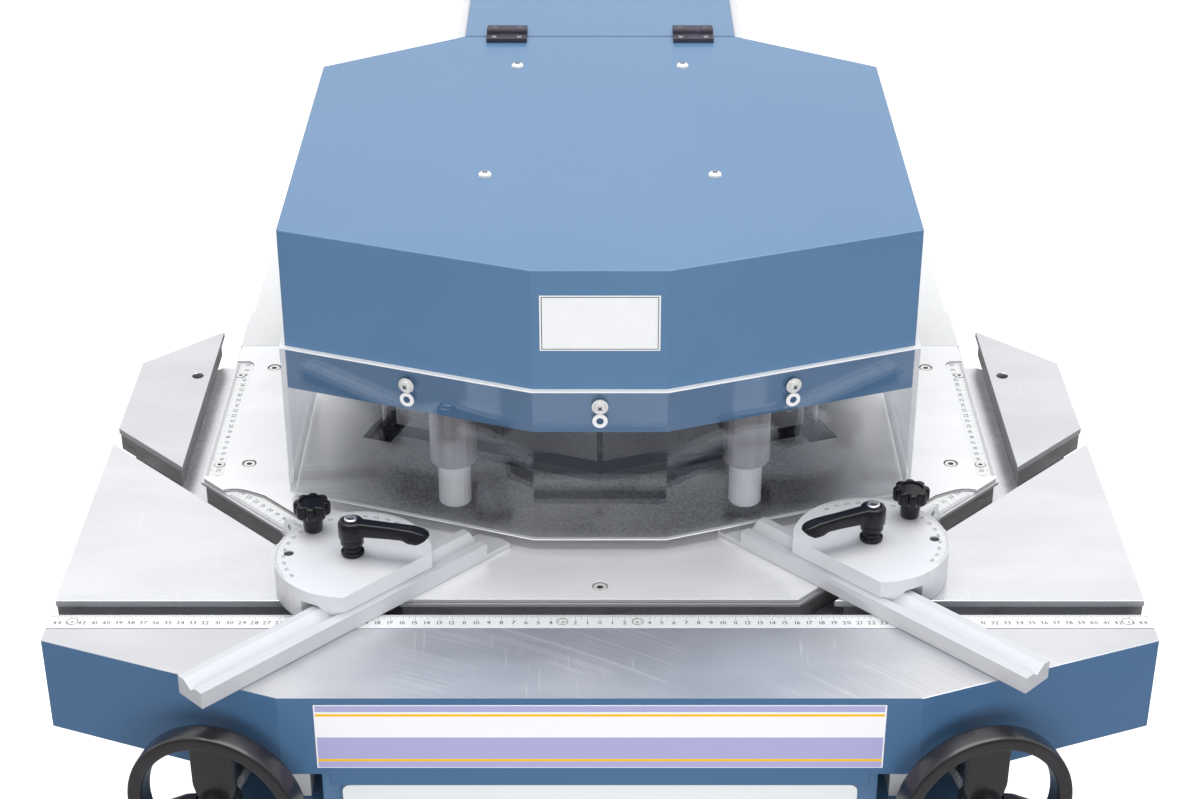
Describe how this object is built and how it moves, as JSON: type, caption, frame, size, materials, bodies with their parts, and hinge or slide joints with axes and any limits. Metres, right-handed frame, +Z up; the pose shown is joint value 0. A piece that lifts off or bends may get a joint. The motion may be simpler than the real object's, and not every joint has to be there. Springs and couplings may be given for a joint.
{
  "type": "corner notcher",
  "caption": "Floor-standing corner notcher of variable angle: hinged hood and clear guard over a V of blades, slotted steel table with mitre gauges, handwheels and a sheet-metal cabinet.",
  "frame": {"origin": "on the floor, below the middle of the machine's bounding box", "axes": "+Z up, +Y towards the back of the machine, +X to the operator's right"},
  "size_m": [0.896, 1.047, 1.191],
  "materials": {
    "blue_paint": "satin",
    "grey_paint": "satin",
    "ground_steel": "ground",
    "blued_steel": "blued",
    "cast_bed": "as cast",
    "rule_strip": "satin",
    "aluminium": "satin",
    "black_plastic": "gloss",
    "black_hinge": "satin",
    "clear_guard": "clear",
    "tank_paint": "satin",
    "pipe_steel": "drawn"
  },
  "bodies": {
    "machine": {"c_frame": "grey_paint", "cabinet": "blue_paint", "centre_base": "blued_steel", "centre_plate": "ground_steel", "cylinder_barrel": "blued_steel", "front_rule": "rule_strip", "front_table": "blue_paint", "oil_tank": "tank_paint", "pressure_pipe": "pipe_steel", "pump_motor": "tank_paint", "rear_cover": "blue_paint", "rear_deck": "grey_paint", "sector_pivot": "blued_steel", "table_bed": "cast_bed", "left_diagonal_rule": "rule_strip", "left_side_rule": "rule_strip", "left_gusset": "grey_paint", "left_hinge_fixed": "black_hinge", "left_hold_down_barrel": "blued_steel", "left_rear_side_plate": "ground_steel", "left_wing_plate": "ground_steel", "right_diagonal_rule": "rule_strip", "right_side_rule": "rule_strip", "right_gusset": "grey_paint", "right_hinge_fixed": "black_hinge", "right_hold_down_barrel": "blued_steel", "right_rear_side_plate": "ground_steel", "right_wing_plate": "ground_steel"},
    "hood": {"hood": "blue_paint", "guard": "clear_guard", "left_hinge_moving": "black_hinge", "right_hinge_moving": "black_hinge"},
    "door": {"front_door": "grey_paint"},
    "ram": {"ram": "ground_steel"},
    "left_wheel": {"left_handwheel": "black_plastic", "left_worm_shaft": "ground_steel"},
    "left_lower_tool": {"left_blade_sector": "blued_steel", "left_lower_blade": "ground_steel", "left_link_post": "ground_steel"},
    "left_upper_tool": {"left_upper_holder": "blued_steel", "left_upper_blade": "ground_steel"},
    "left_plunger": {"left_hold_down": "aluminium"},
    "left_slider": {"left_gauge_slider": "blued_steel"},
    "left_gauge": {"left_gauge_disc": "aluminium"},
    "left_fence": {"left_fence_bar": "aluminium"},
    "left_lever": {"left_clamp_lever": "black_plastic"},
    "left_knob": {"left_star_knob": "black_plastic"},
    "right_wheel": {"right_handwheel": "black_plastic", "right_worm_shaft": "ground_steel"},
    "right_lower_tool": {"right_blade_sector": "blued_steel", "right_lower_blade": "ground_steel", "right_link_post": "ground_steel"},
    "right_upper_tool": {"right_upper_holder": "blued_steel", "right_upper_blade": "ground_steel"},
    "right_plunger": {"right_hold_down": "aluminium"},
    "right_slider": {"right_gauge_slider": "blued_steel"},
    "right_gauge": {"right_gauge_disc": "aluminium"},
    "right_fence": {"right_fence_bar": "aluminium"},
    "right_lever": {"right_clamp_lever": "black_plastic"},
    "right_knob": {"right_star_knob": "black_plastic"}
  },
  "joints": [
    {"name": "hood_hinge", "type": "hinge", "parent": "machine", "child": "hood", "pos_m": [0, 0.26853, 1.1868], "axis": [-1, 0, 0], "range_deg": [0, 80]},
    {"name": "door_hinge", "type": "hinge", "parent": "machine", "child": "door", "pos_m": [-0.2045, -0.46177, 0.47], "axis": [0, 0, 1], "range_deg": [-90, 0]},
    {"name": "ram_slide", "type": "slide", "parent": "machine", "child": "ram", "axis": [0, 0, 1], "range_m": [-0.025, 0]},
    {"name": "left_angle_wheel", "type": "hinge", "parent": "machine", "child": "left_wheel", "pos_m": [-0.3005, -0.49647, 0.828], "axis": [-0.2419, -0.9703, 0], "range_deg": [0, 2475]},
    {"name": "left_lower_swing", "type": "hinge", "parent": "machine", "child": "left_lower_tool", "pos_m": [0, -0.14447, 0.835], "axis": [0, 0, -1], "range_deg": [0, 55]},
    {"name": "left_upper_swing", "type": "hinge", "parent": "ram", "child": "left_upper_tool", "pos_m": [0, -0.14447, 1], "axis": [0, 0, -1], "range_deg": [0, 55]},
    {"name": "left_plunger_slide", "type": "slide", "parent": "machine", "child": "left_plunger", "axis": [0, 0, 1], "range_m": [-0.0115, 0], "stiffness_N_per_m": 2000, "springref_m": 0.01},
    {"name": "left_gauge_slide", "type": "slide", "parent": "machine", "child": "left_slider", "axis": [-0.7071, 0.7071, 0], "range_m": [-0.03, 0.022]},
    {"name": "left_gauge_swivel", "type": "hinge", "parent": "left_slider", "child": "left_gauge", "pos_m": [-0.204, -0.32147, 0.935], "axis": [0, 0, 1], "range_deg": [-45, 3]},
    {"name": "left_fence_slide", "type": "slide", "parent": "left_gauge", "child": "left_fence", "axis": [0.7071, 0.7071, 0], "range_m": [-0.08, 0.01]},
    {"name": "left_lever_turn", "type": "hinge", "parent": "left_gauge", "child": "left_lever", "pos_m": [-0.204, -0.32147, 0.965], "axis": [0, 0, 1], "range_deg": [-90, 90]},
    {"name": "left_knob_turn", "type": "hinge", "parent": "left_gauge", "child": "left_knob", "pos_m": [-0.24049, -0.28499, 0.97], "axis": [0, 0, 1], "range_deg": [0, 360]},
    {"name": "right_angle_wheel", "type": "hinge", "parent": "machine", "child": "right_wheel", "pos_m": [0.3005, -0.49647, 0.828], "axis": [0.2419, -0.9703, 0], "range_deg": [0, 2475]},
    {"name": "right_lower_swing", "type": "hinge", "parent": "machine", "child": "right_lower_tool", "pos_m": [0, -0.14447, 0.835], "axis": [0, 0, 1], "range_deg": [0, 55]},
    {"name": "right_upper_swing", "type": "hinge", "parent": "ram", "child": "right_upper_tool", "pos_m": [0, -0.14447, 1], "axis": [0, 0, 1], "range_deg": [0, 55]},
    {"name": "right_plunger_slide", "type": "slide", "parent": "machine", "child": "right_plunger", "axis": [0, 0, 1], "range_m": [-0.0115, 0], "stiffness_N_per_m": 2000, "springref_m": 0.01},
    {"name": "right_gauge_slide", "type": "slide", "parent": "machine", "child": "right_slider", "axis": [0.7071, 0.7071, 0], "range_m": [-0.061, 0.004]},
    {"name": "right_gauge_swivel", "type": "hinge", "parent": "right_slider", "child": "right_gauge", "pos_m": [0.226, -0.29947, 0.935], "axis": [0, 0, 1], "range_deg": [0, 45]},
    {"name": "right_fence_slide", "type": "slide", "parent": "right_gauge", "child": "right_fence", "axis": [-0.7071, 0.7071, 0], "range_m": [-0.08, 0.002]},
    {"name": "right_lever_turn", "type": "hinge", "parent": "right_gauge", "child": "right_lever", "pos_m": [0.226, -0.29947, 0.965], "axis": [0, 0, 1], "range_deg": [-90, 90]},
    {"name": "right_knob_turn", "type": "hinge", "parent": "right_gauge", "child": "right_knob", "pos_m": [0.26249, -0.26299, 0.97], "axis": [0, 0, 1], "range_deg": [0, 360]}
  ],
  "couplings": [
    {"joint": "left_lower_swing", "follows": "left_angle_wheel", "ratio": 0.022222},
    {"joint": "left_upper_swing", "follows": "left_angle_wheel", "ratio": 0.022222},
    {"joint": "right_lower_swing", "follows": "right_angle_wheel", "ratio": 0.022222},
    {"joint": "right_upper_swing", "follows": "right_angle_wheel", "ratio": 0.022222}
  ]
}
